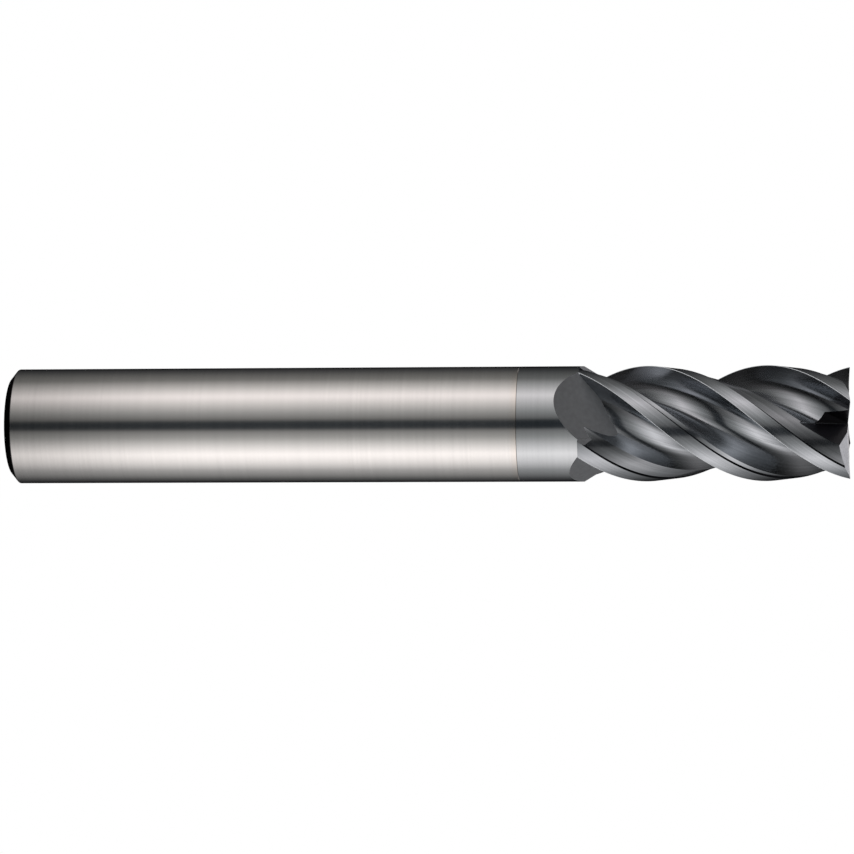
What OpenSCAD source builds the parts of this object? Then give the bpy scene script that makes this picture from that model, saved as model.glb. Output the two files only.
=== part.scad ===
// Solid-carbide square end mill: plain round shank, four right-hand helical flutes,
// unequal tooth spacing, end teeth that cut to the centre.
// The tool lies along +X. The rear face of the shank is at x = 0 and the tips of the teeth are
// at x = overall_l. Every piece is drawn standing on its shank, and lay_down() turns it onto X.

/* [Blank] */
// Diameter of the shank and of the cut, in mm
tool_d = 10; // [8:0.5:12]
// Overall length, from the rear face of the shank to the tips of the teeth
overall_l = 73; // [70:0.5:90]

/* [Shank] */
// Length of the chamfer on the rear edge, along the axis
chamfer_l = 0.65; // [0.3:0.05:1.2]
// Height of the same chamfer, towards the axis
chamfer_h = 0.8; // [0.3:0.05:1.2]
// Length of the bare shank, up to the edge of the coating
bare_l = 44.6; // [30:0.1:44.6]

/* [Teeth] */
// Length of the relieved teeth, from the tips back
cut_l = 23.2; // [20:0.1:23.2]
// Lead of the helix, which gives a 40 degree helix on a 10 mm tool
lead = 38; // [34:0.5:46]
// Larger of the two angles between neighbouring teeth; the smaller one makes it up to 180
wide_pitch = 97; // [90:1:98]
// Angle of the first tooth's edge at the tips
first_tooth = -15; // [-180:1:180]
// Rake angle of the cutting edges
rake = 9; // [4:1:12]
// Width of the primary land, as an angle round the axis
primary_w = 17; // [14:1:19]
// Fall of the primary land to its rear edge, as a share of the radius
primary_fall = 0.044; // [0.036:0.001:0.05]
// Fall of the secondary land, as a share of the radius for each degree round the axis
secondary_fall = 0.0076; // [0.007:0.0002:0.008]

/* [Flutes] */
// Angle from a cutting edge forwards to the heel of the tooth ahead
heel_a = 60; // [58:0.5:61]
// Lean of a flute's wall at that heel, from radial
wall_lean = 18; // [10:1:26]
// Radius of the web between the flutes, as a share of the tool's radius
web_r = 0.49; // [0.48:0.01:0.52]
// Slope of the flat on which each flute runs out, measured from the axis
runout_slope = 29; // [26:1:33]
// Slope on which each secondary land runs out
land_slope = 30; // [26:1:36]

/* [End teeth] */
// Dish: how far the end edges fall towards the centre, in degrees
dish = 2; // [1:0.5:3]
// Primary relief of the end teeth, in degrees
end_relief = 8; // [6:0.5:10]
// Secondary relief of the end teeth, in degrees
end_clearance = 20; // [16:1:24]
// Width of the primary relief of the end teeth
end_land_w = 0.9; // [0.6:0.1:1.2]
// Fall of a gash along its end edge, from the centre outwards
gash_edge_fall = 37.9; // [34:0.1:40]
// Fall of the gash's valley, from the centre outwards
gash_fall = 44.6; // [42:0.1:47]
// Lean of the gash's far flank, from upright
gash_lean = 45; // [42:1:50]

/* [Hidden] */

r = tool_d / 2;
land_x = overall_l - cut_l;                  // where the relief of the teeth starts
narrow_pitch = 180 - wide_pitch;
core_r = 0.44 * r;                           // inside the web, so no flute reaches it
core_l = cut_l - 0.7 * r;                    // ends short of the gashes
web_a = 30;                                  // angle from a cutting edge forwards to the bottom of its flute
out_r = 1.3 * r;                             // outlines of the cuts close out here, outside the blank
skin = 0.003;                                // grinding stock left outside the cutting edges
overlap_a = 4;                               // angle by which neighbouring cuts overlap outside the blank
primary_overrun = 2;                         // angle by which a primary cut runs on past its land
secondary_overrun = 12;                      // the same for a secondary cut, out to out_r
overshoot = 0.5;                             // how far a cut runs on past the ends of the teeth
narrow_runout_w = 24;                        // half-width of the flat a flute runs out on, as an angle
wide_runout_w = 39;                          // the same for the wider flutes
runout_lag = 1;                              // turn of that flat, back towards its cutting edge
land_runout_lead = 3;                        // turn of the land's run-out, on past the start of the land
full_depth_x = land_x + 1.2 * r;             // from here to the tips, the flutes are at their full section
sector_lead = 3;                             // tooth divisions lie this far on from the flute bottoms
gash_turn = 0.207;                           // direction of a gash's valley, as a share of the pitch
short_gash_u = 0.16 * r;                     // start of the gash along a short tooth's edge
long_gash_u = -0.06 * r;                     // the same along a long tooth's edge, past the centre
curve_n = 6;                                 // steps along each curve of a flute
land_n = 3;                                  // steps across a secondary land
slices = 44;                                 // steps along the helix
blank_fn = 120;
bright_carbide = [0.72, 0.71, 0.69];
coated_carbide = [0.36, 0.38, 0.42];

// Angle of a tooth's edge at the tips, and the pitch from it to the tooth ahead and the one behind
function edge(i) = first_tooth - 180 * floor(i / 2) - (i % 2) * wide_pitch;
function ahead(i) = i % 2 == 0 ? narrow_pitch : wide_pitch;
function behind(i) = 180 - ahead(i);

function polar(len, a) = len * [cos(a), sin(a)];
function bezier(p, t) =
    pow(1 - t, 3) * p[0] + 3 * t * pow(1 - t, 2) * p[1] + 3 * t * t * (1 - t) * p[2] + pow(t, 3) * p[3];
function curve(p, n) = [for (k = [1 : n]) bezier(p, k / n)];

// Secondary land of the tooth that is a pitch ahead of an edge at angle 0, at a given angle
land_end_r = (1 - primary_fall) * r;
function secondary_r(a, pitch) = land_end_r - secondary_fall * r * (pitch - primary_w - a);
function secondary(pitch) = [
    for (k = [0 : land_n])
        let (a = heel_a + (pitch - primary_w - heel_a) * k / land_n) polar(secondary_r(a, pitch), a)];

// The flute ahead of an edge at angle 0: its rake face, then the wall up to the heel of the tooth ahead
along_web = polar(r, web_a + 90);
web_point = polar(web_r * r, web_a);
function heel(pitch) = polar(secondary_r(heel_a, pitch), heel_a);
rake_face = [
    [r, 0],
    [r, 0] - 0.37 * polar(r, rake),
    web_point - 0.35 * along_web,
    web_point];
function tooth_wall(pitch) = [
    web_point,
    web_point + 0.16 * along_web,
    heel(pitch) - 0.27 * polar(r, heel_a + wall_lean),
    heel(pitch)];

// The whole cut: the flute, then the secondary land of the tooth ahead. Both are run on out of the blank
rake_out = [r, 0] + 0.05 * polar(r, rake);
function land_out(pitch) = polar(out_r, pitch - primary_w + secondary_overrun);
function cut_outline(pitch) = concat(
    [rake_out],
    curve(rake_face, curve_n),
    curve(tooth_wall(pitch), curve_n),
    secondary(pitch),
    [land_out(pitch)],
    [for (a = [pitch : -10 : 0]) polar(out_r, a)],
    [polar(out_r, -overlap_a)]);

// Primary land behind an edge at angle 0. It falls evenly with the angle, as an eccentric relief does,
// and runs on a little at both ends
function land_r(a) = r * (1 - primary_fall * a / primary_w);
function primary_outline() = concat(
    [for (a = [-primary_overrun : 4 : primary_w + primary_overrun]) polar(land_r(a), -a)],
    [for (a = [-primary_w - overlap_a : 10 : overlap_a]) polar(out_r, a)],
    [polar(out_r, overlap_a)]);

// An outline, given as it is at the tips, swept back along the helix to the start of the teeth
module sweep() {
    swept_l = cut_l + 2 * overshoot;
    turn_per_mm = 360 / lead;
    translate([0, 0, land_x - overshoot])
        rotate(-turn_per_mm * (cut_l + overshoot))
            linear_extrude(height = swept_l, twist = -turn_per_mm * swept_l, slices = slices, convexity = 6)
                children();
}

module lay_down() {
    rotate([0, 90, 0]) children();
}

// Everything outside a flat that slopes in towards the tips. It faces angle a, and at the start
// of the teeth it is at flat_r from the axis
module outside_flat(a, flat_r, slope) {
    rotate(a)
        translate([flat_r, 0, land_x])
            rotate([0, -slope, 0])
                translate([0, -2 * r, -3 * r])
                    cube([3 * r, 4 * r, 3 * r + 2 * cut_l]);
}

// Flat on which the flute ahead of tooth i runs out, as wide as half_w either way at the start of the teeth
module runout(i) {
    half_w = i % 2 == 0 ? narrow_runout_w : wide_runout_w;
    start = edge(i) - 360 * cut_l / lead;
    outside_flat(start + half_w - runout_lag, r * cos(half_w), runout_slope);
}

// Flat on which the secondary land beyond that flute runs out
module land_runout(i) {
    start = edge(i) - 360 * cut_l / lead;
    outside_flat(start + ahead(i) - primary_w + land_runout_lead, r, land_slope);
}

// The flute ahead of tooth i, with the secondary land beyond it
module flute_cut(i) {
    intersection() {
        sweep() rotate(edge(i)) polygon(cut_outline(ahead(i)));
        union() {
            runout(i);
            land_runout(i);
            translate([0, 0, full_depth_x]) cylinder(h = cut_l, r = 2 * r);
        }
    }
}

module primary_cut(i) {
    sweep() rotate(edge(i)) polygon(primary_outline());
}

// Upright plate that starts at the origin, turned from the end edge, falling outwards and leaning forwards
module plate(turn, fall, lean) {
    rotate(turn) rotate([0, fall, 0]) rotate([-lean, 0, 0]) cube([3 * r, skin, 3 * r]);
}

// Gash ahead of the end edge of tooth i: a floor from the edge to its valley, then a far flank.
// The even teeth are short, and the odd ones reach the centre
module gash(i) {
    start_u = i % 2 == 0 ? short_gash_u : long_gash_u;
    turn = gash_turn * ahead(i);
    rotate(edge(i))
        translate([start_u, 0, overall_l]) {
            hull() {
                plate(0, gash_edge_fall, 0);
                plate(turn, gash_fall, 0);
            }
            hull() {
                plate(turn, gash_fall, 0);
                plate(turn, gash_fall, gash_lean);
            }
        }
}

// Everything above a plane through the end edge of tooth i, shifted back and falling behind it
module end_plane(i, from, drop, fall) {
    rotate(edge(i))
        translate([r, -from, overall_l - drop])
            rotate([fall, 0, 0]) rotate([0, -dish, 0])
                translate([-1.5 * r, -3 * r, 0]) cube([3 * r, 3 * r, 3 * r]);
}

// Relief behind the end edge of tooth i: a narrow primary facet, then a steeper one
module end_cut(i) {
    end_plane(i, 0, 0, end_relief);
    end_plane(i, end_land_w, end_land_w * tan(end_relief), end_clearance);
}

// Everything that belongs to tooth i: from the bottom of the flute behind it to the one ahead
module sector(i) {
    from = edge(i) - behind(i) + web_a + sector_lead;
    sweep() polygon(concat([[0, 0]], [for (k = [0 : 8]) polar(2 * r, from + behind(i) * k / 8)]));
}

module shank_turned() {
    rotate_extrude($fn = blank_fn)
        polygon([[0, 0], [r - chamfer_h, 0], [r, chamfer_l], [r, bare_l], [0, bare_l]]);
}

module shank() {
    color(bright_carbide) lay_down() shank_turned();
}

module neck() {
    color(coated_carbide)
        lay_down()
            difference() {
                translate([0, 0, bare_l]) cylinder(h = land_x - bare_l, r = r, $fn = blank_fn);
                for (i = [0 : 3]) runout(i);
            }
}

module core() {
    color(coated_carbide)
        lay_down()
            translate([0, 0, land_x]) cylinder(h = core_l, r = core_r, $fn = blank_fn);
}

module tooth(i) {
    color(coated_carbide)
        lay_down()
            difference() {
                intersection() {
                    translate([0, 0, land_x]) cylinder(h = cut_l, r = r + skin, $fn = blank_fn);
                    sector(i);
                }
                translate([0, 0, land_x - 1])
                    cylinder(h = core_l + 1, r = core_r / cos(180 / blank_fn), $fn = blank_fn);
                for (k = [0 : 3]) {
                    flute_cut(k);
                    gash(k);
                }
                primary_cut(i);
                end_cut(i);
            }
}

shank();
neck();
core();
tooth(0);  // tooth_1
tooth(1);  // tooth_2
tooth(2);  // tooth_3
tooth(3);  // tooth_4
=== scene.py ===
"""Carbide end mill: ground shank, coated neck and four helical teeth, modelled round the CAD frame."""

import math
from contextlib import contextmanager

import bpy
from mathutils import Matrix, Vector
from mathutils.geometry import interpolate_bezier


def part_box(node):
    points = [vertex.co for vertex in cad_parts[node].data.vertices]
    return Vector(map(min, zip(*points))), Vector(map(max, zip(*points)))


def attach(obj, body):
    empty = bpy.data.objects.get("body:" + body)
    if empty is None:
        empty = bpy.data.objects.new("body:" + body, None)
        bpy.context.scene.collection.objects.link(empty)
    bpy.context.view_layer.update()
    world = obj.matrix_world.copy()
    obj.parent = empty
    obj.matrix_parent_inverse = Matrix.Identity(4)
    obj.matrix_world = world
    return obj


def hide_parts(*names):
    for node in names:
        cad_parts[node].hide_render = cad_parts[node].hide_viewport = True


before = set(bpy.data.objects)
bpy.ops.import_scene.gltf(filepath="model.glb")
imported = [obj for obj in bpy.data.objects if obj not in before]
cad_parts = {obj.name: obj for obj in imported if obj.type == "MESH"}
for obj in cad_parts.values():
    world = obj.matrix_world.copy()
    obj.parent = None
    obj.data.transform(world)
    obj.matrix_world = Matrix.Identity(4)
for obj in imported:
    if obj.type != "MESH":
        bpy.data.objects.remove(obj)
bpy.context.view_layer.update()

bl_info = {
    "name": "End mill",
    "version": (1, 0, 0),
    "blender": (4, 5, 0),
    "location": "View3D > Sidebar > End mill",
    "description": "Models a carbide end mill round its CAD frame, with ground and coated finishes",
    "category": "Add Mesh",
}

# The tool is modelled standing on its shank, one unit to the millimetre, then laid down on +X in metres.
MM = 0.001
SHANK_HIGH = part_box("shank")[1]
NECK_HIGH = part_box("neck")[1]
CORE_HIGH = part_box("core")[1]
TIPS_X = max(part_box(f"tooth_{i}")[1][0] for i in range(1, 5))

ROUND_SIDES = 256
WELD = 1e-4  # points closer than this are one point
ON_PLANE = 0.01  # a face whose centre is nearer to a plane than this lies in it
OVERRUN = 0.5  # how far a sweep runs on into the neck
TIP_STOCK = 0.3  # bar left past the tips until its end is ground
RAMP_LENGTH = 8  # how far the run-out of a flute reaches into the teeth
SECTOR_LEAD = math.radians(3)  # tooth divisions lie this far on from the flute bottoms
LAND_RUNOUT_LEAD = math.radians(3)  # turn of a land's run-out, on past the start of the land
RUNOUT_LAG = math.radians(1)  # turn of a flute's run-out, back towards its cutting edge
NARROW_RUNOUT = math.radians(24)  # half-width of the flat that a narrow flute runs out on
WIDE_RUNOUT = math.radians(39)  # the same for a wide flute
SHORT_GASH_START = 0.16  # where the gash of a short tooth starts, as a share of the radius
LONG_GASH_START = -0.06  # the same for a long tooth, past the centre
SHANK_BEVEL = 0.06  # width of the rounding on the edges of the shank's chamfer
SHANK_CREASE = math.radians(30)  # edges sharper than this stay sharp
NECK_CREASE = math.radians(15)
TOOTH_CREASE = math.radians(11)
FLOOR_SIZE = 12  # side of the floor, in metres
BACKDROP = (0.9, 0.86, 0.87, 1)  # small bright patch behind the cutting end

# Brightness of the room round the tool's axis, in degrees up from the front.
LIGHT_ROUND_AXIS = [
    (-180, (0.0, 0.0, 0.0)),
    (-163, (0.005, 0.005, 0.006)),
    (-150, (0.03, 0.03, 0.032)),
    (-135, (0.115, 0.115, 0.115)),
    (-103, (0.46, 0.45, 0.445)),
    (-80, (1.10, 1.05, 1.03)),
    (-61, (1.53, 1.45, 1.42)),
    (-43, (1.0, 0.96, 0.94)),
    (-26, (0.47, 0.465, 0.45)),
    (-11, (0.27, 0.265, 0.26)),
    (-8, (0.028, 0.033, 0.038)),
    (8, (0.028, 0.033, 0.038)),
    (11, (0.20, 0.195, 0.19)),
    (26, (0.42, 0.415, 0.405)),
    (43, (0.82, 0.78, 0.76)),
    (60, (1.27, 1.18, 1.16)),
    (80, (0.70, 0.67, 0.65)),
    (103, (0.225, 0.22, 0.21)),
    (135, (0.07, 0.07, 0.07)),
    (150, (0.03, 0.03, 0.032)),
    (163, (0.005, 0.005, 0.006)),
    (180, (0.0, 0.0, 0.0)),
]
# Its fall towards the two ends, as the cosine to the axis.
LIGHT_ALONG_AXIS = [
    (-1, 0.01), (-0.8, 0.04), (-0.6, 0.12), (-0.35, 0.55), (-0.2, 1), (0.2, 0.95), (0.35, 0.55),
    (0.47, 0.42), (0.6, 0.24), (0.7, 0.17), (0.78, 0.17), (0.9, 0.04), (1, 0.01),
]


# ---------------------------------------------------------------------------------------- settings


class ToolSizes(bpy.types.PropertyGroup):
    """Sizes of the blank and its teeth. The lengths that the CAD fixes are read from the frame."""

    radius: bpy.props.FloatProperty(
        name="Radius", description="Radius of the shank and of the cut",
        default=SHANK_HIGH[2], unit="LENGTH")
    tips: bpy.props.FloatProperty(
        name="Tips", description="Distance from the rear face to the tips of the teeth",
        default=round(TIPS_X, 5), unit="LENGTH")
    coating_edge: bpy.props.FloatProperty(
        name="Coating edge", description="Distance from the rear face to the edge of the coating",
        default=SHANK_HIGH[0], unit="LENGTH")
    teeth_start: bpy.props.FloatProperty(
        name="Start of the teeth", description="Distance from the rear face to the start of the relief",
        default=NECK_HIGH[0], unit="LENGTH")
    chamfer_length: bpy.props.FloatProperty(
        name="Chamfer length", description="Rear chamfer, along the axis", default=0.00065, unit="LENGTH")
    chamfer_height: bpy.props.FloatProperty(
        name="Chamfer height", description="Rear chamfer, towards the axis", default=0.0008, unit="LENGTH")
    lead: bpy.props.FloatProperty(
        name="Lead", description="Advance of the helix in one turn", default=0.038, unit="LENGTH")
    wide_pitch: bpy.props.FloatProperty(
        name="Wide pitch", description="Larger angle between neighbouring teeth",
        default=math.radians(97), subtype="ANGLE")
    first_tooth: bpy.props.FloatProperty(
        name="First tooth", description="Angle of the first tooth's edge at the tips",
        default=math.radians(-15), subtype="ANGLE")
    slice_length: bpy.props.FloatProperty(
        name="Slice", description="Length of one step along the helix", default=0.0001, unit="LENGTH")


class ToothSizes(bpy.types.PropertyGroup):
    """Cross-section of one tooth and its flute. Shares are of the tool's radius."""

    rake: bpy.props.FloatProperty(
        name="Rake", description="Rake angle of the cutting edges",
        default=math.radians(9), subtype="ANGLE")
    hone: bpy.props.FloatProperty(
        name="Hone", description="Width of the rounding on the cutting edges",
        default=0.00005, unit="LENGTH")
    primary_width: bpy.props.FloatProperty(
        name="Primary land", description="Width of the primary land, round the axis",
        default=math.radians(17), subtype="ANGLE")
    primary_fall: bpy.props.FloatProperty(
        name="Primary fall", description="Fall of the primary land to its rear edge, as a share",
        default=0.042)
    step_width: bpy.props.FloatProperty(
        name="Step width", description="Width of the step behind the primary land",
        default=math.radians(1.4), subtype="ANGLE")
    step_fall: bpy.props.FloatProperty(
        name="Step fall", description="Depth of the step behind the primary land, as a share",
        default=0.022)
    secondary_fall: bpy.props.FloatProperty(
        name="Secondary fall", description="Fall of the secondary land per radian, as a share",
        default=0.435)
    heel_angle: bpy.props.FloatProperty(
        name="Heel", description="Angle from a cutting edge forwards to the heel of the tooth ahead",
        default=math.radians(59.75), subtype="ANGLE")
    wall_lean: bpy.props.FloatProperty(
        name="Wall lean", description="Lean of the flute's wall at the heel, from radial",
        default=math.radians(18), subtype="ANGLE")
    web_radius: bpy.props.FloatProperty(
        name="Web radius", description="Radius of the web at the bottom of a flute, as a share",
        default=0.49)
    web_angle: bpy.props.FloatProperty(
        name="Web", description="Angle from a cutting edge forwards to the bottom of its flute",
        default=math.radians(30), subtype="ANGLE")
    runout_slope: bpy.props.FloatProperty(
        name="Run-out slope", description="Slope of the flat that each flute runs out on",
        default=math.radians(29), subtype="ANGLE")
    land_slope: bpy.props.FloatProperty(
        name="Land slope", description="Slope that each secondary land runs out on",
        default=math.radians(30), subtype="ANGLE")


class EndSizes(bpy.types.PropertyGroup):
    """Gashes and reliefs of the end teeth."""

    dish: bpy.props.FloatProperty(
        name="Dish", description="Fall of the end edges towards the centre",
        default=math.radians(2), subtype="ANGLE")
    relief: bpy.props.FloatProperty(
        name="Relief", description="Primary relief of the end teeth",
        default=math.radians(8), subtype="ANGLE")
    clearance: bpy.props.FloatProperty(
        name="Clearance", description="Secondary relief of the end teeth",
        default=math.radians(20), subtype="ANGLE")
    land_width: bpy.props.FloatProperty(
        name="End land", description="Width of the primary end relief", default=0.0009, unit="LENGTH")
    edge_fall: bpy.props.FloatProperty(
        name="Gash edge", description="Fall of a gash along its end edge, from the centre outwards",
        default=math.radians(37.9), subtype="ANGLE")
    gash_turn: bpy.props.FloatProperty(
        name="Gash turn", description="Turn of a gash's valley ahead of its edge, as a share of the pitch",
        default=0.207)
    gash_fall: bpy.props.FloatProperty(
        name="Gash fall", description="Fall of a gash's valley, from the centre outwards",
        default=math.radians(44.6), subtype="ANGLE")
    gash_lean: bpy.props.FloatProperty(
        name="Gash flank", description="Lean of a gash's far flank, from upright",
        default=math.radians(45), subtype="ANGLE")
    gash_round: bpy.props.FloatProperty(
        name="Gash rounding", description="Rounding in the valley of a gash",
        default=0.00006, unit="LENGTH")


class FinishColours(bpy.types.PropertyGroup):
    """Colours of the bare and the coated carbide."""

    bare: bpy.props.FloatVectorProperty(
        name="Bare carbide", description="Bright-ground carbide", subtype="COLOR", size=3,
        default=(0.76, 0.755, 0.745))
    neck: bpy.props.FloatVectorProperty(
        name="Coated neck", description="Coating over the ground cylinder", subtype="COLOR", size=3,
        default=(0.52, 0.545, 0.565))
    flutes: bpy.props.FloatVectorProperty(
        name="Coated flutes", description="Coating in the flutes and on the teeth", subtype="COLOR", size=3,
        default=(0.47, 0.50, 0.535))


class StudioSizes(bpy.types.PropertyGroup):
    """Camera, floor and light."""

    focal_length: bpy.props.FloatProperty(
        name="Focal length", description="Focal length of the camera, in millimetres", default=168.6)
    distance: bpy.props.FloatProperty(
        name="Distance", description="From the camera to the tool's axis", default=0.3473, unit="LENGTH")
    azimuth: bpy.props.FloatProperty(
        name="Azimuth", description="Turn of the camera towards the cutting end",
        default=math.radians(5.8), subtype="ANGLE")
    roll: bpy.props.FloatProperty(
        name="Roll", description="Roll of the camera", default=math.radians(0.247), subtype="ANGLE")
    floor_drop: bpy.props.FloatProperty(
        name="Floor drop", description="From the tool's axis down to the floor",
        default=0.06, unit="LENGTH")


# ------------------------------------------------------------------------------------ mesh helpers


def select_only(obj):
    bpy.ops.object.select_all(action="DESELECT")
    obj.select_set(True)
    bpy.context.view_layer.objects.active = obj


@contextmanager
def edit_mode(obj, kind="VERT", select="SELECT"):
    select_only(obj)
    bpy.ops.object.mode_set(mode="EDIT")
    bpy.ops.mesh.select_mode(type=kind)
    bpy.ops.mesh.select_all(action=select)
    yield
    bpy.ops.object.mode_set(mode="OBJECT")


def select_vertices(obj, wanted):
    """Selects the vertices whose place passes the test, and the edges and faces between them."""
    with edit_mode(obj, select="DESELECT"):
        pass
    for vertex in obj.data.vertices:
        vertex.select = wanted(vertex.co)
    select_only(obj)
    bpy.ops.object.mode_set(mode="EDIT")


def apply_modifier(obj, name):
    select_only(obj)
    bpy.ops.object.modifier_apply(modifier=name)


def place(obj, matrix):
    """Moves a piece and applies the move, so that its place is in its mesh."""
    select_only(obj)
    obj.matrix_world = matrix @ obj.matrix_world
    bpy.ops.object.transform_apply(location=True, rotation=True, scale=True)


def cut_off(obj, point, outward):
    """Takes away everything on the outer side of a plane, and closes the cut."""
    with edit_mode(obj):
        bpy.ops.mesh.bisect(
            plane_co=point, plane_no=outward, use_fill=True, clear_outer=True, threshold=1e-5)


def combine(obj, other, operation):
    """Joins, cuts or trims a piece with another, which is used up."""
    boolean = obj.modifiers.new("Combine", "BOOLEAN")
    boolean.operation = operation
    boolean.solver = "MANIFOLD"
    boolean.object = other
    apply_modifier(obj, boolean.name)
    if obj.modifiers:
        raise RuntimeError(f"{obj.name} could not be combined with {other.name}")
    bpy.data.objects.remove(other, do_unlink=True)


def grind_off(obj, point, outward, size):
    """Takes away what lies within a cube that stands on the outer side of a plane."""
    bpy.ops.mesh.primitive_cube_add(size=size, location=(0, 0, size / 2))
    cube = bpy.context.object
    cube.name = "grinding_plane"
    place(cube, Matrix.Identity(4))
    place(cube, Matrix.Translation(point) @ Vector(outward).to_track_quat("Z", "X").to_matrix().to_4x4())
    combine(obj, cube, "DIFFERENCE")


def copy_of(obj, name):
    copy = obj.copy()
    copy.data = obj.data.copy()
    copy.name = name
    bpy.context.collection.objects.link(copy)
    return copy


def polar(radius, angle):
    return Vector((radius * math.cos(angle), radius * math.sin(angle)))


def turned(points, angle):
    turn = Matrix.Rotation(angle, 2)
    return [turn @ point for point in points]


def sweep(name, outline, low, high, sizes, steps=None):
    """Sweeps an outline, given as it is at the tips, along the helix and closes its ends."""
    per_mm = 2 * math.pi * MM / sizes.lead
    start = per_mm * (low - sizes.tips / MM)
    bpy.ops.mesh.primitive_circle_add(vertices=len(outline), fill_type="NOTHING")
    obj = bpy.context.object
    obj.name = name
    for vertex, point in zip(obj.data.vertices, turned(outline, start)):
        vertex.co = (point.x, point.y, low)
    helix = obj.modifiers.new("Helix", "SCREW")
    helix.axis = "Z"
    helix.angle = per_mm * (high - low)
    helix.screw_offset = high - low
    helix.steps = helix.render_steps = steps or round((high - low) * MM / sizes.slice_length)
    apply_modifier(obj, helix.name)
    with edit_mode(obj):
        bpy.ops.mesh.fill_holes(sides=0)
        bpy.ops.mesh.select_all(action="SELECT")
        bpy.ops.mesh.normals_make_consistent(inside=False)
    return obj


def finish_surface(obj, sharp_angle, mark=None):
    """Cleans a closed mesh and marks its materials, then smooths it between its sharp edges."""
    with edit_mode(obj):
        bpy.ops.mesh.remove_doubles(threshold=WELD)
        bpy.ops.mesh.dissolve_degenerate(threshold=1e-5)
        bpy.ops.mesh.delete_loose(use_faces=False)
        bpy.ops.mesh.select_all(action="SELECT")
        bpy.ops.mesh.normals_make_consistent(inside=False)
    if mark:
        mark(obj)
    select_only(obj)
    bpy.ops.object.shade_smooth_by_angle(angle=sharp_angle)
    sides = {}
    for face in obj.data.polygons:
        for key in face.edge_keys:
            sides.setdefault(key, set()).add(face.material_index)
    for edge in obj.data.edges:
        if len(sides.get(edge.key, ())) > 1:
            edge.use_edge_sharp = True


def mark_faces(obj, material, wanted):
    """Gives its own material to the faces that pass a test of their centre and normal."""
    obj.data.materials.append(material)
    for face in obj.data.polygons:
        if wanted(face.center, face.normal):
            face.material_index = len(obj.data.materials) - 1


def behind_edge(point, sizes):
    """Angle from the cutting edge ahead of a point back to it. Just ahead of an edge it is negative."""
    ahead = 0.2
    here = math.atan2(point.y, point.x) - 2 * math.pi * (point.z * MM - sizes.tips) / sizes.lead
    return min((edge_angle(index, sizes) - here + ahead) % (2 * math.pi) for index in range(4)) - ahead


def mark_tooth(piece, scene, r):
    """Marks the finer surfaces of a tooth: the step and the gashes in painted shade, the honed edge as a
    painted, glowing highlight, and the run-out flats.
    """
    sizes, tooth, end, colours = (
        scene.endmill_tool, scene.endmill_tooth, scene.endmill_end, scene.endmill_colours)
    hone = tooth.hone / sizes.radius
    step_start, step_end = tooth.primary_width, tooth.primary_width + tooth.step_width
    flats = [flute_flat(index, r, sizes, tooth) for index in range(4)]
    gashes = [
        (gash_frame(index, r, sizes).inverted(), gash_normals(index, sizes, end)) for index in range(4)]

    def in_step(centre, normal):
        return centre.xy.length > 0.92 * r and step_start < behind_edge(centre, sizes) < step_end

    def in_hone(centre, normal):
        return centre.xy.length > 0.98 * r and abs(behind_edge(centre, sizes)) < hone

    def in_flat(centre, normal):
        return any(
            normal.dot(facing) > 0.9999 and abs((centre - point).dot(facing)) < ON_PLANE
            for point, facing in flats)

    def in_gash(centre, normal):
        return centre.z > sizes.tips / MM - r and any(
            abs((inwards @ centre).dot(plane)) < ON_PLANE
            and abs((inwards.to_3x3() @ normal).dot(plane)) > 0.999
            for inwards, planes in gashes for plane in planes)

    # The step behind each primary land is painted near-black as shade.
    mark_faces(piece, step_painted_shade(), in_step)
    # The honed edge is painted pale and glowing as a highlight.
    mark_faces(piece, edge_painted_highlight(), in_hone)
    mark_faces(piece, coated_flat(colours), in_flat)
    # The gash faces are painted dark as shade.
    mark_faces(piece, gash_painted_shade(), in_gash)


def lay_down(obj):
    """Turns a standing piece onto +X and scales it from millimetres to metres."""
    place(obj, Matrix.Scale(MM, 4) @ Matrix.Rotation(math.radians(90), 4, "Y"))


def hand_over(obj, node):
    """Lets a finished piece stand for its CAD node."""
    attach(obj, "root")
    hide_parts(node)


# ------------------------------------------------------------------------- shape of the teeth, in mm


def edge_angle(index, sizes):
    """Angle of tooth 0 to 3's cutting edge at the tips."""
    return sizes.first_tooth - math.pi * (index // 2) - (index % 2) * sizes.wide_pitch


def pitch_ahead(index, sizes):
    return math.pi - sizes.wide_pitch if index % 2 == 0 else sizes.wide_pitch


def land_radius(angle, r, tooth):
    return r * (1 - tooth.primary_fall * angle / tooth.primary_width)


def secondary_radius(angle, r, tooth):
    fall = tooth.secondary_fall * r * (angle - tooth.primary_width)
    return land_radius(tooth.primary_width, r, tooth) - fall


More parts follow.
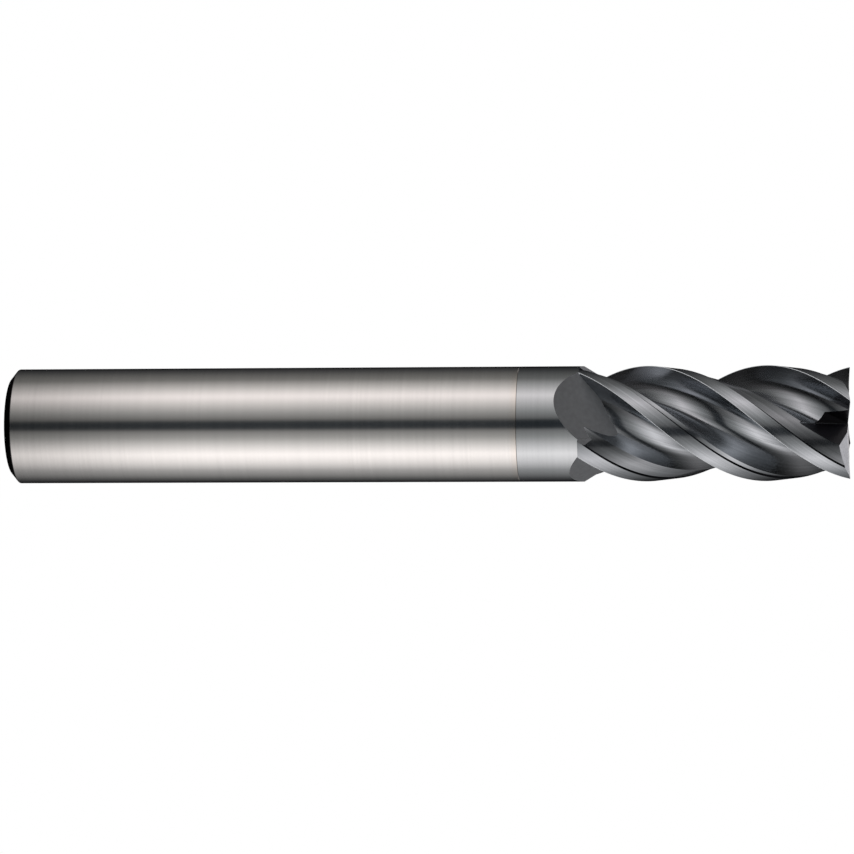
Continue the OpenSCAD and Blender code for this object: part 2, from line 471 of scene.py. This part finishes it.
def pitch_outline(pitch, r, tooth):
    """Outline from a cutting edge at angle 0 forwards, down its flute and up over the tooth ahead."""
    rake_points, wall_points, secondary_steps, primary_steps = 33, 31, 12, 14
    leave_edge, reach_web, leave_web, reach_heel = 0.37, 0.35, 0.16, 0.27
    web = polar(tooth.web_radius * r, tooth.web_angle)
    along_web = polar(r, tooth.web_angle + math.pi / 2)
    edge = Vector((r, 0))
    inward = -polar(r, tooth.rake)
    hone = tooth.hone / MM
    hone_middle = polar(r - 0.35 * hone, 0)
    rake_end = edge + inward * (hone / r)
    heel_back = pitch - tooth.heel_angle
    heel = polar(secondary_radius(heel_back, r, tooth), tooth.heel_angle)
    up_wall = polar(r, tooth.heel_angle + tooth.wall_lean)
    rake_face = interpolate_bezier(
        rake_end, edge + leave_edge * inward, web - reach_web * along_web, web, rake_points)
    wall = interpolate_bezier(
        web, web + leave_web * along_web, heel - reach_heel * up_wall, heel, wall_points)
    step_end = tooth.primary_width + tooth.step_width
    secondary = []
    for k in range(1, secondary_steps + 1):
        angle = heel_back + (step_end - heel_back) * k / secondary_steps
        drop = tooth.step_fall * r * k / secondary_steps
        secondary.append(polar(secondary_radius(angle, r, tooth) - drop, pitch - angle))
    primary = []
    for k in range(primary_steps + 1):
        angle = tooth.primary_width + (hone / r - tooth.primary_width) * k / primary_steps
        primary.append(polar(land_radius(angle, r, tooth), pitch - angle))
    return [hone_middle] + rake_face + wall[1:] + secondary + primary


def section_outline(r, sizes, tooth):
    """Cross-section of the whole cutting part at the tips, anticlockwise."""
    points = []
    for index in (1, 0, 3, 2):
        points += turned(pitch_outline(pitch_ahead(index, sizes), r, tooth), edge_angle(index, sizes))
    return points


def ramp_outline(pitch, r, tooth):
    """Flute ahead of an edge at angle 0, filled up to the blank, with its sides inside both teeth."""
    far = pitch - tooth.primary_width
    steps = 48
    rim = [polar(r, far * k / steps) for k in range(steps + 1)]
    land = land_radius(tooth.primary_width, r, tooth)
    inside = [
        polar(land, far), polar(0.7 * r, far + 0.1), polar(0.2 * r, pitch / 2), polar(0.8 * r, -0.12)]
    return rim + inside


def flute_flat(index, r, sizes, tooth):
    """Point and outward normal of the flat on which the flute ahead of a tooth runs out."""
    half = NARROW_RUNOUT if index % 2 == 0 else WIDE_RUNOUT
    start = edge_angle(index, sizes) - 2 * math.pi * (sizes.tips - sizes.teeth_start) / sizes.lead
    return sloped_flat(start + half - RUNOUT_LAG, r * math.cos(half), tooth.runout_slope, sizes)


def land_flat(index, r, sizes, tooth):
    """The same for the secondary land beyond that flute."""
    start = edge_angle(index, sizes) - 2 * math.pi * (sizes.tips - sizes.teeth_start) / sizes.lead
    facing = start + pitch_ahead(index, sizes) - tooth.primary_width + LAND_RUNOUT_LEAD
    return sloped_flat(facing, r, tooth.land_slope, sizes)


def sloped_flat(facing, radius, slope, sizes):
    side = polar(1, facing)
    point = Vector((radius * side.x, radius * side.y, sizes.teeth_start / MM))
    normal = Vector((math.cos(slope) * side.x, math.cos(slope) * side.y, math.sin(slope)))
    return point, normal


def fluted_bar(r, sizes, tooth):
    """The cutting part before its end is ground: fluted bar plus the ramps that the flutes run out on."""
    start, tips = sizes.teeth_start / MM, sizes.tips / MM
    below = start - OVERRUN
    bar = sweep("fluted_bar", section_outline(r, sizes, tooth), below, tips + TIP_STOCK, sizes)
    for index in range(4):
        outline = ramp_outline(pitch_ahead(index, sizes), r, tooth)
        ramp = sweep("ramp", outline, below, start + RAMP_LENGTH, sizes, 120)
        place(ramp, Matrix.Rotation(edge_angle(index, sizes), 4, "Z"))
        cut_off(ramp, *flute_flat(index, r, sizes, tooth))
        cut_off(ramp, *land_flat(index, r, sizes, tooth))
        combine(bar, ramp, "UNION")
    return bar


def gash_frame(index, r, sizes):
    """Where a gash starts. The even teeth are short, and the odd ones reach the centre."""
    start = SHORT_GASH_START * r if index % 2 == 0 else LONG_GASH_START * r
    turn = Matrix.Rotation(edge_angle(index, sizes), 4, "Z")
    return turn @ Matrix.Translation((start, 0, sizes.tips / MM))


def gash_normals(index, sizes, end):
    """Outward normals of a gash's upright face, floor and far flank, which meet where it starts."""
    turn = end.gash_turn * pitch_ahead(index, sizes)
    cos_fall, sin_fall = math.cos(end.gash_fall), math.sin(end.gash_fall)
    valley = Vector((math.cos(turn) * cos_fall, math.sin(turn) * cos_fall, -sin_fall))
    across = Vector((-math.sin(turn), math.cos(turn), 0))
    trace = Vector((math.cos(end.edge_fall), 0, -math.sin(end.edge_fall)))
    floor = valley.cross(trace).normalized()
    flank = math.cos(end.gash_lean) * across - math.sin(end.gash_lean) * valley.cross(across)
    return Vector((0, -1, 0)), floor, flank


def grind_gash(bar, index, r, sizes, end):
    """Cuts the gash ahead of one end edge, with its valley a little rounded."""
    face, floor, flank = gash_normals(index, sizes, end)
    bpy.ops.mesh.primitive_cube_add(size=4 * r, location=(r, r, -r / 2))
    block = bpy.context.object
    place(block, Matrix.Identity(4))
    for outward in (face, floor, flank):
        cut_off(block, (0, 0, 0), outward)
    select_vertices(block, lambda co: abs(co.dot(floor)) < WELD and abs(co.dot(flank)) < WELD)
    bpy.ops.mesh.bevel(offset=end.gash_round / MM, segments=3)
    bpy.ops.object.mode_set(mode="OBJECT")
    place(block, gash_frame(index, r, sizes))
    combine(bar, block, "DIFFERENCE")


def cut_tooth(bar, index, r, sizes, tooth, end):
    """One tooth of the bar, from the bottom of the flute behind it to the one ahead, round the core."""
    start, tips = sizes.teeth_start / MM, sizes.tips / MM
    angle = edge_angle(index, sizes)
    behind = math.pi - pitch_ahead(index, sizes)
    low = angle - behind + tooth.web_angle + SECTOR_LEAD
    sector = sweep(
        "sector", [Vector((0, 0))] + [polar(2 * r, low + behind * k / 12) for k in range(13)],
        start, tips + 1, sizes, 240)
    piece = copy_of(bar, f"tooth_{index + 1}_ground")
    combine(piece, sector, "INTERSECT")
    core_radius = CORE_HIGH[2] / MM / math.cos(math.pi / ROUND_SIDES)
    core_end = CORE_HIGH[0] / MM
    bpy.ops.mesh.primitive_cylinder_add(
        vertices=ROUND_SIDES, radius=core_radius, depth=core_end - start + 1,
        location=(0, 0, (core_end + start - 1) / 2))
    core = bpy.context.object
    place(core, Matrix.Identity(4))
    combine(piece, core, "DIFFERENCE")
    turn = Matrix.Rotation(angle, 3, "Z")
    land = end.land_width / MM
    for back, drop, fall in ((0, 0, end.relief), (land, land * math.tan(end.relief), end.clearance)):
        level = math.cos(end.dish)
        normal = Vector((-math.sin(end.dish), -math.sin(fall) * level, math.cos(fall) * level))
        grind_off(piece, turn @ Vector((r, -back, tips - drop)), turn @ normal, 5 * r)
    return piece


# --------------------------------------------------------------------------------------- materials


class Nodes:
    """Short way to add shader nodes and link them."""

    def __init__(self, tree):
        self.tree = tree
        tree.nodes.clear()

    def add(self, kind, links=None, **values):
        node = self.tree.nodes.new(kind)
        for name, value in values.items():
            setattr(node, name, value)
        for socket, source in (links or {}).items():
            if isinstance(source, bpy.types.NodeSocket):
                self.tree.links.new(source, node.inputs[socket])
            else:
                node.inputs[socket].default_value = source
        return node

    def math(self, operation, a, b=0.0, c=0.0):
        return self.add("ShaderNodeMath", {0: a, 1: b, 2: c}, operation=operation).outputs[0]

    def ramp(self, factor, stops, interpolation="EASE"):
        node = self.add("ShaderNodeValToRGB", {"Fac": factor})
        node.color_ramp.interpolation = interpolation
        points = node.color_ramp.elements
        while len(points) < len(stops):
            points.new(1)
        for point, (position, colour) in zip(points, stops):
            point.position = position
            point.color = (*colour, 1) if len(colour) == 3 else colour
        return node.outputs["Color"]


def new_material(name):
    material = bpy.data.materials.new(name)
    material.use_nodes = True
    return material, Nodes(material.node_tree)


def metal(nodes, colour, roughness, normal=None, **settings):
    links = {"Base Color": colour, "Roughness": roughness, "Metallic": 1.0}
    if normal:
        links["Normal"] = normal
    links.update(settings)
    shader = nodes.add("ShaderNodeBsdfPrincipled", links)
    nodes.add("ShaderNodeOutputMaterial", {"Surface": shader.outputs[0]})
    return shader


def mix_colour(nodes, factor, a, b, blend="MIX"):
    node = nodes.add("ShaderNodeMix", data_type="RGBA", blend_type=blend)
    for socket, source in ((0, factor), (6, a), (7, b)):
        if isinstance(source, bpy.types.NodeSocket):
            nodes.tree.links.new(source, node.inputs[socket])
        else:
            node.inputs[socket].default_value = source
    return node.outputs[2]


def grind_lines(nodes, place_socket, scale, detail=2.0):
    """Noise stretched into long lines by the scale of its coordinates."""
    mapping = nodes.add("ShaderNodeMapping", {"Vector": place_socket, "Scale": scale})
    noise = nodes.add("ShaderNodeTexNoise", {
        "Vector": mapping.outputs[0], "Scale": 1.0, "Detail": detail, "Roughness": 0.6})
    return noise.outputs["Fac"]


def cylinder_grind(nodes, shade):
    """Marks of the cylindrical grinding wheel: lines round the axis, seen as shade and as a bump."""
    here = nodes.add("ShaderNodeTexCoord").outputs["Object"]
    fine = grind_lines(nodes, here, (9000, 60, 60))
    broad = grind_lines(nodes, here, (900, 30, 30), 3.0)
    lines = nodes.math("ADD", nodes.math("MULTIPLY", fine, 0.5), nodes.math("MULTIPLY", broad, 0.5))
    colour = nodes.ramp(lines, [(0.3, [c * 0.9 for c in shade]), (0.7, shade)], "LINEAR")
    bump = nodes.add("ShaderNodeBump", {"Height": lines, "Strength": 0.12, "Distance": 0.00002})
    return here, lines, colour, bump.outputs[0]


def bare_carbide(colours, sizes):
    """Bright-ground carbide, with a straw tint where the edge of the coating has drifted onto it."""
    material, nodes = new_material("bright_carbide")
    here, lines, colour, bump = cylinder_grind(nodes, colours.bare)
    along = nodes.add("ShaderNodeSeparateXYZ", {0: here}).outputs["X"]
    near_coating = nodes.add("ShaderNodeMapRange", {
        "Value": along, "From Min": sizes.coating_edge - 0.0007, "From Max": sizes.coating_edge})
    straw = [c * t for c, t in zip(colours.bare, (0.95, 0.86, 0.78))]
    tint = nodes.math("MULTIPLY", near_coating.outputs[0], 0.5)
    colour = mix_colour(nodes, tint, colour, (*straw, 1))
    rough = nodes.math("ADD", 0.13, nodes.math("MULTIPLY", lines, 0.1))
    metal(nodes, colour, rough, bump)
    return material


def coated_neck(colours):
    material, nodes = new_material("coated_neck")
    here, lines, colour, bump = cylinder_grind(nodes, colours.neck)
    rough = nodes.math("ADD", 0.1, nodes.math("MULTIPLY", lines, 0.1))
    metal(nodes, colour, rough, bump)
    return material


def coated_flutes(colours, sizes):
    """Coating over flutes ground along the helix, so the marks follow it."""
    material, nodes = new_material("coated_flutes")
    here = nodes.add("ShaderNodeTexCoord").outputs["Object"]
    along = nodes.add("ShaderNodeSeparateXYZ", {0: here}).outputs["X"]
    untwist = nodes.add("ShaderNodeVectorRotate", {
        "Vector": here, "Angle": nodes.math("MULTIPLY", along, -2 * math.pi / sizes.lead)},
        rotation_type="X_AXIS")
    section = untwist.outputs[0]
    fine = grind_lines(nodes, section, (90, 6000, 6000))
    broad = grind_lines(nodes, section, (40, 1500, 1500), 2.0)
    lines = nodes.math("ADD", nodes.math("MULTIPLY", fine, 0.5), nodes.math("MULTIPLY", broad, 0.5))
    shade = colours.flutes
    stops = [(0.3, [c * 0.68 for c in shade]), (0.7, [c * 1.12 for c in shade])]
    colour = nodes.ramp(lines, stops, "LINEAR")
    bump = nodes.add("ShaderNodeBump", {"Height": lines, "Strength": 0.12, "Distance": 0.00002})
    rough = nodes.math("ADD", 0.12, nodes.math("MULTIPLY", lines, 0.12))
    metal(nodes, colour, rough, bump.outputs[0], Metallic=0.9)
    return material


def coated_flat(colours):
    """Coating over the flats that the flutes run out on: even and satin."""
    material, nodes = new_material("coated_flat")
    here = nodes.add("ShaderNodeTexCoord").outputs["Object"]
    grain = grind_lines(nodes, here, (2500, 2500, 2500), 1.0)
    shade = colours.flutes
    stops = [(0.3, [c * 0.6 for c in shade]), (0.7, [c * 0.7 for c in shade])]
    colour = nodes.ramp(grain, stops, "LINEAR")
    metal(nodes, colour, 0.45, Metallic=0.1)
    return material


def plain_metal(name, colour, roughness, **settings):
    material, nodes = new_material(name)
    metal(nodes, (*colour, 1), roughness, **settings)
    return material


# Painted shade: the step behind each land is made near-black, as if its groove lay in shade.
def step_painted_shade():
    return plain_metal("step_painted_shade", (0.03, 0.033, 0.04), 0.4)


# Painted shade: the gash faces are made dark grey, as the gashes lie in shade.
def gash_painted_shade():
    return plain_metal("gash_painted_shade", (0.1, 0.1, 0.115), 0.3)


def edge_painted_highlight():
    """The honed cutting edges, painted pale and made to glow a little: a painted highlight."""
    return plain_metal(
        "edge_painted_highlight", (0.82, 0.87, 0.92), 0.6, Metallic=0.0,
        **{"Emission Color": (0.95, 0.98, 1, 1), "Emission Strength": 0.25})


# --------------------------------------------------------------------------------------- operators


class ENDMILL_OT_shank(bpy.types.Operator):
    """Models the bare shank with its chamfered rear end"""

    bl_idname = "endmill.shank"
    bl_label = "Shank"

    def execute(self, context):
        sizes = context.scene.endmill_tool
        r, length = sizes.radius / MM, sizes.coating_edge / MM
        bpy.ops.object.select_all(action="DESELECT")
        bpy.ops.mesh.primitive_cylinder_add(
            vertices=ROUND_SIDES, radius=r, depth=length, location=(0, 0, length / 2))
        shank = context.object
        shank.name = "shank_ground"
        place(shank, Matrix.Identity(4))
        with edit_mode(shank, "FACE", "DESELECT"):
            pass
        for face in shank.data.polygons:
            face.select = face.center.z < WELD
        bpy.ops.object.mode_set(mode="EDIT")
        bpy.ops.mesh.inset(thickness=sizes.chamfer_height / MM, depth=0)
        bpy.ops.object.mode_set(mode="OBJECT")
        select_vertices(shank, lambda co: co.z < 1e-4 and co.xy.length > r - 1e-3)
        bpy.ops.transform.translate(value=(0, 0, sizes.chamfer_length / MM))
        bpy.ops.object.mode_set(mode="OBJECT")
        bevel = shank.modifiers.new("Edges", "BEVEL")
        bevel.width = SHANK_BEVEL
        bevel.segments = 3
        bevel.limit_method = "ANGLE"
        bevel.angle_limit = SHANK_CREASE
        apply_modifier(shank, bevel.name)
        finish_surface(shank, SHANK_CREASE)
        lay_down(shank)
        shank.data.materials.append(bare_carbide(context.scene.endmill_colours, sizes))
        hand_over(shank, "shank")
        return {"FINISHED"}


class ENDMILL_OT_neck(bpy.types.Operator):
    """Models the coated neck with the flats that the flutes run out on"""

    bl_idname = "endmill.neck"
    bl_label = "Neck"

    def execute(self, context):
        sizes, tooth = context.scene.endmill_tool, context.scene.endmill_tooth
        r = sizes.radius / MM
        low, high = sizes.coating_edge / MM, sizes.teeth_start / MM
        bpy.ops.object.select_all(action="DESELECT")
        bpy.ops.mesh.primitive_cylinder_add(
            vertices=ROUND_SIDES, radius=r, depth=high - low, location=(0, 0, (low + high) / 2))
        neck = context.object
        neck.name = "neck_ground"
        place(neck, Matrix.Identity(4))
        for index in range(4):
            cut_off(neck, *flute_flat(index, r, sizes, tooth))
        finish_surface(neck, NECK_CREASE)
        lay_down(neck)
        neck.data.materials.append(coated_neck(context.scene.endmill_colours))
        run_outs = coated_flat(context.scene.endmill_colours)
        mark_faces(neck, run_outs, lambda centre, normal: 0.2 < normal.x < 0.9)
        hand_over(neck, "neck")
        return {"FINISHED"}


class ENDMILL_OT_teeth(bpy.types.Operator):
    """Grinds the flutes, lands, gashes and end edges, then parts the four teeth round the core"""

    bl_idname = "endmill.teeth"
    bl_label = "Teeth"

    def execute(self, context):
        scene = context.scene
        sizes, tooth, end = scene.endmill_tool, scene.endmill_tooth, scene.endmill_end
        r = sizes.radius / MM
        material = coated_flutes(scene.endmill_colours, sizes)
        bar = fluted_bar(r, sizes, tooth)
        for index in range(4):
            grind_gash(bar, index, r, sizes, end)
        for index in range(4):
            piece = cut_tooth(bar, index, r, sizes, tooth, end)
            piece.data.materials.clear()
            piece.data.materials.append(material)
            finish_surface(piece, TOOTH_CREASE, lambda obj: mark_tooth(obj, scene, r))
            lay_down(piece)
            hand_over(piece, f"tooth_{index + 1}")
        bpy.data.objects.remove(bar, do_unlink=True)
        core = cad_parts["core"]
        core.data.materials.clear()
        core.data.materials.append(material)
        return {"FINISHED"}


class ENDMILL_OT_studio(bpy.types.Operator):
    """Sets the camera, the pale floor and the soft light"""

    bl_idname = "endmill.studio"
    bl_label = "Studio"

    def execute(self, context):
        studio, sizes = context.scene.endmill_studio, context.scene.endmill_tool
        self.camera(context, studio, sizes)
        self.floor(studio, sizes)
        self.light(context)
        context.scene.view_settings.view_transform = "Standard"
        return {"FINISHED"}

    def camera(self, context, studio, sizes):
        data = bpy.data.cameras.new("camera")
        data.lens = studio.focal_length
        camera = bpy.data.objects.new("camera", data)
        context.collection.objects.link(camera)
        aim = Vector((0.4995 * sizes.tips, 0, -0.00021))  # just off the middle of the tool
        away = Vector((math.sin(studio.azimuth), -math.cos(studio.azimuth), 0))
        facing = (-away).to_track_quat("-Z", "Y").to_matrix().to_4x4()
        roll = Matrix.Rotation(-studio.roll, 4, "Z")
        camera.matrix_world = Matrix.Translation(aim + away * studio.distance) @ facing @ roll
        context.scene.camera = camera

    def floor(self, studio, sizes):
        bpy.ops.object.select_all(action="DESELECT")
        middle = (sizes.tips / 2, 0, -studio.floor_drop)
        bpy.ops.mesh.primitive_plane_add(size=FLOOR_SIZE, location=middle)
        floor = bpy.context.object
        floor.name = "floor"
        material, nodes = new_material("pale_floor")
        shader = nodes.add("ShaderNodeEmission", {"Color": (1, 1, 1, 1), "Strength": 1.0})
        nodes.add("ShaderNodeOutputMaterial", {"Surface": shader.outputs[0]})
        floor.data.materials.append(material)
        floor.visible_glossy = False
        floor.visible_diffuse = False

    def light(self, context):
        """Two long soft lights, above and below, with the dark of the room between them."""
        world = bpy.data.worlds.new("studio")
        context.scene.world = world
        world.use_nodes = True
        nodes = Nodes(world.node_tree)
        towards = nodes.add("ShaderNodeTexCoord").outputs["Generated"]
        split = nodes.add("ShaderNodeSeparateXYZ", {0: towards}).outputs
        front = nodes.math("MULTIPLY", split["Y"], -1.0)
        round_axis = nodes.math("ARCTAN2", split["Z"], front)
        position = nodes.math("MULTIPLY_ADD", round_axis, 0.5 / math.pi, 0.5)
        stops = [(0.5 + angle / 360, colour) for angle, colour in LIGHT_ROUND_AXIS]
        lights = nodes.ramp(position, stops, "LINEAR")
        along = nodes.math("MULTIPLY_ADD", split["X"], 0.5, 0.5)
        fade = nodes.ramp(along, [(0.5 + x / 2, (c, c, c)) for x, c in LIGHT_ALONG_AXIS], "LINEAR")
        studio_light = mix_colour(nodes, 1.0, lights, fade, "MULTIPLY")
        to_right = nodes.ramp(split["X"], [(0.12, (0, 0, 0)), (0.3, (1, 1, 1))])
        behind = nodes.ramp(split["Y"], [(0.62, (0, 0, 0)), (0.8, (1, 1, 1))])
        backdrop = mix_colour(nodes, 1.0, to_right, behind, "MULTIPLY")
        studio_light = mix_colour(nodes, backdrop, studio_light, BACKDROP)
        camera_ray = nodes.add("ShaderNodeLightPath").outputs["Is Camera Ray"]
        seen = mix_colour(nodes, camera_ray, studio_light, (1, 1, 1, 1))
        background = nodes.add("ShaderNodeBackground", {"Color": seen, "Strength": 1.0})
        nodes.add("ShaderNodeOutputWorld", {"Surface": background.outputs[0]})


class ENDMILL_PT_panel(bpy.types.Panel):
    """Lists the pieces of the end mill"""

    bl_idname = "ENDMILL_PT_panel"
    bl_label = "End mill"
    bl_space_type = "VIEW_3D"
    bl_region_type = "UI"
    bl_category = "End mill"

    def draw(self, context):
        for operator in OPERATORS:
            self.layout.operator(operator.bl_idname)
        for name in SETTINGS:
            settings = getattr(context.scene, name)
            for prop in settings.bl_rna.properties:
                if prop.identifier not in {"rna_type", "name"}:
                    self.layout.prop(settings, prop.identifier)


OPERATORS = (ENDMILL_OT_shank, ENDMILL_OT_neck, ENDMILL_OT_teeth, ENDMILL_OT_studio)
SETTINGS = {
    "endmill_tool": ToolSizes,
    "endmill_tooth": ToothSizes,
    "endmill_end": EndSizes,
    "endmill_colours": FinishColours,
    "endmill_studio": StudioSizes,
}
CLASSES = (*SETTINGS.values(), *OPERATORS, ENDMILL_PT_panel)


def register():
    for group in CLASSES:
        bpy.utils.register_class(group)
    for name, group in SETTINGS.items():
        setattr(bpy.types.Scene, name, bpy.props.PointerProperty(type=group))


def unregister():
    for name in SETTINGS:
        delattr(bpy.types.Scene, name)
    for group in reversed(CLASSES):
        bpy.utils.unregister_class(group)


def main():
    register()
    bpy.ops.endmill.studio()
    bpy.ops.endmill.shank()
    bpy.ops.endmill.neck()
    bpy.ops.endmill.teeth()


if __name__ == "__main__":
    main()
